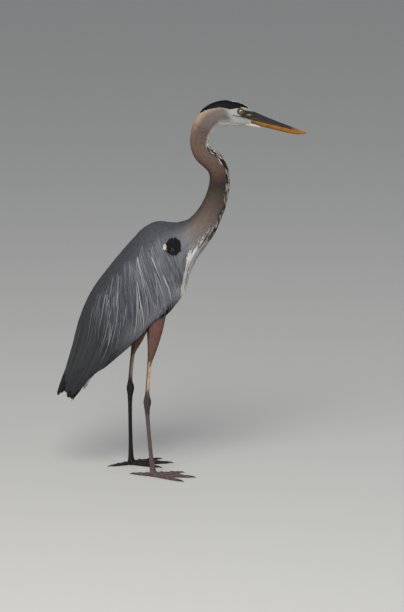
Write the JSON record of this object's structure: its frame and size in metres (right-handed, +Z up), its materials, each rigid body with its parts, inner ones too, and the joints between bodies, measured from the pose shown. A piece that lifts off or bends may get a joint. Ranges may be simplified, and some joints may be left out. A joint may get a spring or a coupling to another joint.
{
  "type": "great blue heron, standing model",
  "caption": "Life-size standing great blue heron with an S-curved neck, dagger bill, folded wings, long plumes and thin wading legs on flat-soled feet.",
  "frame": {"origin": "middle of the object's box on the ground, a little in front of the feet", "axes": "+X the way the bill points, +Y the bird's left side, +Z up"},
  "size_m": [0.6094, 0.2076, 0.9321],
  "materials": {
    "back_feathers": "matt slate-grey contour feathers",
    "wing_feathers": "matt slate-grey covert feathers",
    "flight_feathers": "blackish slate flight feathers with a faint gloss",
    "pale_plumes": "long pale grey lanceolate plumes",
    "neck_feathers": "soft mauve-brown neck feathers",
    "head_feathers": "short white face feathers",
    "black_feathers": "black feathers with a blue cast",
    "thigh_feathers": "chestnut thigh feathers",
    "leg_scales": "scaly dark grey-brown skin",
    "shank_scales": "scaly pinkish-tan skin",
    "bill_dark": "smooth slate horn",
    "bill_orange": "smooth orange-yellow horn",
    "claws": "dark horn",
    "eyes": "glassy eye with a yellow iris"
  },
  "bodies": {
    "root": {"bill_upper": "bill_dark", "bill_lower": "bill_orange", "head": "head_feathers", "neck_upper": "neck_feathers", "neck_middle": "neck_feathers", "neck_lower": "neck_feathers", "breast_plumes": "pale_plumes", "trunk": "back_feathers", "mantle": "back_feathers", "tail": "flight_feathers", "eye_right": "eyes", "crest_right": "black_feathers", "scapulars_right": "pale_plumes", "shoulder_patch_right": "black_feathers", "wing_coverts_right": "wing_feathers", "wing_secondaries_right": "flight_feathers", "wing_primaries_right": "flight_feathers", "thigh_right": "thigh_feathers", "shank_right": "shank_scales", "tarsus_right": "leg_scales", "toes_right": "leg_scales", "claw_middle_right": "claws", "claw_inner_right": "claws", "claw_outer_right": "claws", "claw_hind_right": "claws", "eye_left": "eyes", "crest_left": "black_feathers", "scapulars_left": "pale_plumes", "shoulder_patch_left": "black_feathers", "wing_coverts_left": "wing_feathers", "wing_secondaries_left": "flight_feathers", "wing_primaries_left": "flight_feathers", "thigh_left": "thigh_feathers", "shank_left": "shank_scales", "tarsus_left": "leg_scales", "toes_left": "leg_scales", "claw_middle_left": "claws", "claw_inner_left": "claws", "claw_outer_left": "claws", "claw_hind_left": "claws"}
  },
  "joints": []
}
